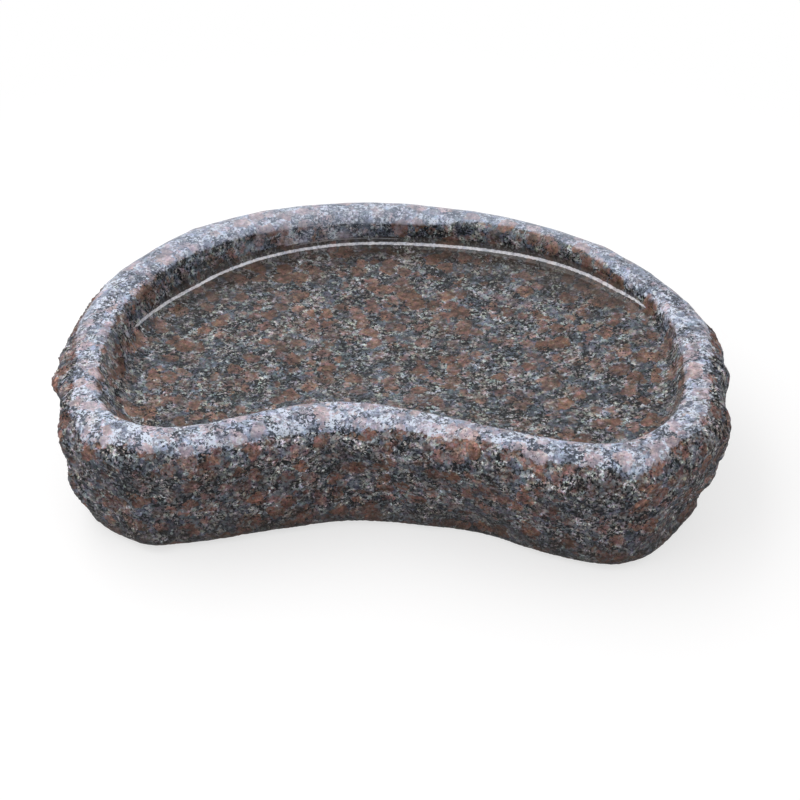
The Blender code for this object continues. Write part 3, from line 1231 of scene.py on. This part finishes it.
def relief_tree(settings):
    """Geometry Nodes that strike small scars and crumbs off the hewn part, inwards."""
    geometry = "NodeSocketGeometry"
    inputs = {"Geometry": (geometry, None)}
    inputs.update(setting_inputs(settings, settings.__annotations__))
    inputs["Material"] = ("NodeSocketMaterial", None)
    tree, value = new_group("GeometryNodeTree", "hewn_relief", inputs, {"Geometry": geometry})

    spot = place(tree, "GeometryNodeInputPosition").outputs[0]
    draw = {"ID": 0, "Seed": value["Seed"]}
    shift = place(tree, "FunctionNodeRandomValue", draw, data_type="FLOAT_VECTOR").outputs[0]
    seeded = move(tree, "ADD", spot, shift)
    ledged = move(tree, "MULTIPLY", seeded, LEDGE_SQUEEZE)
    scars = chipped(tree, ledged, "scar", value["Scar Width"], value["Scar Depth"])
    crumbs = chipped(tree, seeded, "crumb", value["Crumb Width"], value["Crumb Depth"])

    named = {"Name": HEWN}
    hewn = place(tree, "GeometryNodeInputNamedAttribute", named, data_type="FLOAT").outputs[0]
    above_foot = mask(tree, split(tree, spot)[2], "worn foot")
    kept = stretch(tree, above_foot, WORN_FOOT_SHARE, 1.0)
    depth = times(tree, times(tree, plus(tree, scars, crumbs), hewn), kept)
    normal = place(tree, "GeometryNodeInputNormal").outputs[0]
    inwards = move(tree, "SCALE", normal, times(tree, depth, -1.0), "Scale")

    stone = value["Geometry"]
    for kind, extra in (
        ("GeometryNodeSetPosition", {"Offset": inwards}),
        ("GeometryNodeRealizeInstances", {}),
        ("GeometryNodeSetMaterial", {"Material": value["Material"]}),
    ):
        stone = place(tree, kind, {"Geometry": stone, **extra}).outputs[0]
    return end_group(tree, {"Geometry": stone})


def struck_mesh(stone, tree, material):
    """Plain mesh of the stone with its relief struck, in its material."""
    modifier = stone.modifiers.new("hewn_relief", "NODES")
    modifier.node_group = tree
    for socket in tree.interface.items_tree:
        if socket.name == "Material":
            modifier[socket.identifier] = material
    graph = bpy.context.evaluated_depsgraph_get()
    mesh = bpy.data.meshes.new_from_object(
        stone.evaluated_get(graph), preserve_all_data_layers=True, depsgraph=graph
    )
    stone.modifiers.remove(modifier)
    return mesh


class BATH_OT_carve_stone(bpy.types.Operator):
    """Carve the granite bird bath and give it its three finishes"""

    bl_idname = "bird_bath.carve_stone"
    bl_label = "Carve the stone"

    def execute(self, context):
        scene = context.scene
        material = granite_material(scene.bath_granite)
        mesh = loft("carved_stone", stone_rings())
        stone = bpy.data.objects.new("carved_stone", mesh)
        scene.collection.objects.link(stone)
        stone.data = struck_mesh(stone, relief_tree(scene.bath_relief), material)
        bpy.data.meshes.remove(mesh)
        if not stone.data.materials:
            raise RuntimeError("the stone came out of its nodes without a material")
        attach(stone, "root")
        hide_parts("granite_basin")
        return {"FINISHED"}


def ground_material(settings):
    """White ground that keeps a soft shadow and turns plain further off."""
    material = bpy.data.materials.new("pale_ground")
    material.use_nodes = True
    tree = material.node_tree
    tree.nodes.clear()
    ray = place(tree, "ShaderNodeLightPath").outputs
    seen = calc(tree, "MAXIMUM", ray["Is Camera Ray"], ray["Is Glossy Ray"])
    seen = calc(tree, "MAXIMUM", seen, ray["Is Transmission Ray"])
    color = blend(tree, seen, settings.bounce_color, settings.ground_color)
    matt = place(tree, "ShaderNodeBsdfDiffuse", {"Color": color}).outputs[0]
    glow_level = times(tree, seen, settings.ground_glow)
    glow = place(tree, "ShaderNodeEmission", {"Strength": glow_level}).outputs[0]
    near = place(tree, "ShaderNodeAddShader", {0: matt, 1: glow}).outputs[0]
    white = place(tree, "ShaderNodeEmission", {"Strength": seen}).outputs[0]
    spot = place(tree, "ShaderNodeTexCoord").outputs["Object"]
    away = place(tree, "ShaderNodeVectorMath", {0: spot}, operation="LENGTH")
    far = mask(tree, away.outputs["Value"], "far ground")
    mixed = place(tree, "ShaderNodeMixShader", {0: far, 1: near, 2: white}).outputs[0]
    place(tree, "ShaderNodeOutputMaterial", {"Surface": mixed})
    return material


def add_ground(settings):
    """Wide round ground, a hair below the underside."""
    shape = bmesh.new()
    bmesh.ops.create_circle(
        shape, cap_ends=True, segments=GROUND_SIDES, radius=GROUND_RADIUS
    )
    for corner in shape.verts:
        corner.co.z = -GROUND_GAP
    mesh = bpy.data.meshes.new("ground")
    shape.to_mesh(mesh)
    shape.free()
    mesh.materials.append(ground_material(settings))
    ground = bpy.data.objects.new("ground", mesh)
    bpy.context.scene.collection.objects.link(ground)


def add_sky(settings):
    """Overcast sky, brighter behind the stone, and white at the horizon."""
    world = bpy.data.worlds.new("plain_sky")
    bpy.context.scene.world = world
    world.use_nodes = True
    tree = world.node_tree
    toward = place(tree, "ShaderNodeTexCoord").outputs["Generated"]
    aside, behind, height = split(tree, toward)
    back = mask(tree, behind, "sky behind")
    sky = lerp(tree, back, settings.front_sky, settings.back_sky)
    sky = times(tree, sky, lerp(tree, mask(tree, aside, "sky aside"), *SKY_SIDES))
    level = lerp(tree, mask(tree, height, "horizon"), 1.0, sky)
    wire(tree, tree.nodes["Background"], {"Color": DAYLIGHT, "Strength": level})


def aimed(name, data, spot, toward):
    """Object for a lamp or a camera at a spot, looking along a direction."""
    item = bpy.data.objects.new(name, data)
    item.location = spot
    item.rotation_euler = toward.to_track_quat("-Z", "Y").to_euler()
    bpy.context.scene.collection.objects.link(item)
    return item


def add_lamp(settings):
    """Wide soft lamp overhead that shines at the stone."""
    data = bpy.data.lights.new("overhead_lamp", "AREA")
    data.shape = "RECTANGLE"
    data.size, data.size_y = LAMP_SIZE
    data.energy = settings.key_power
    data.color = DAYLIGHT
    aimed("overhead_lamp", data, LAMP_PLACE, -Vector(LAMP_PLACE))


def add_camera(settings):
    """Camera at the photograph's place."""
    data = bpy.data.cameras.new("camera")
    data.lens = settings.lens
    data.sensor_width = SENSOR_WIDTH
    data.clip_start, data.clip_end = CLIP_SPAN
    rise = settings.view_height
    back = Vector((0.0, -math.cos(rise), math.sin(rise)))
    spot = Vector(VIEW_TARGET) + back * settings.view_distance
    bpy.context.scene.camera = aimed("camera", data, spot, -back)


class BATH_OT_set_stage(bpy.types.Operator):
    """Set the ground, the sky, the lamp and the camera"""

    bl_idname = "bird_bath.set_stage"
    bl_label = "Set the stage"

    def execute(self, context):
        context.scene.view_settings.view_transform = "Standard"
        for add in (add_ground, add_sky, add_lamp, add_camera):
            add(context.scene.bath_stage)
        return {"FINISHED"}


class BATH_PT_panel(bpy.types.Panel):
    """Lists what makes the bird bath, with its sizes and colours."""

    bl_idname = "BATH_PT_panel"
    bl_label = "Bird bath"
    bl_space_type = "VIEW_3D"
    bl_region_type = "UI"
    bl_category = "Bird bath"

    def draw(self, context):
        layout = self.layout
        scene = context.scene
        for operator, groups in (
            (BATH_OT_carve_stone, (scene.bath_relief, scene.bath_granite)),
            (BATH_OT_set_stage, (scene.bath_stage,)),
        ):
            box = layout.box()
            for group in groups:
                for key in group.__annotations__:
                    box.prop(group, key)
            box.operator(operator.bl_idname)


CLASSES = (
    StoneReliefSettings,
    GraniteSettings,
    StageSettings,
    BATH_OT_carve_stone,
    BATH_OT_set_stage,
    BATH_PT_panel,
)


def register():
    """Add the add-on's classes and its settings."""
    for part in CLASSES:
        bpy.utils.register_class(part)
    bpy.types.Scene.bath_relief = PointerProperty(type=StoneReliefSettings)
    bpy.types.Scene.bath_granite = PointerProperty(type=GraniteSettings)
    bpy.types.Scene.bath_stage = PointerProperty(type=StageSettings)


def unregister():
    """Take them away again."""
    del bpy.types.Scene.bath_stage
    del bpy.types.Scene.bath_granite
    del bpy.types.Scene.bath_relief
    for part in reversed(CLASSES):
        bpy.utils.unregister_class(part)


def main():
    """Build the bird bath and its stage."""
    register()
    bpy.ops.bird_bath.carve_stone()
    bpy.ops.bird_bath.set_stage()


if __name__ == "__main__":
    main()
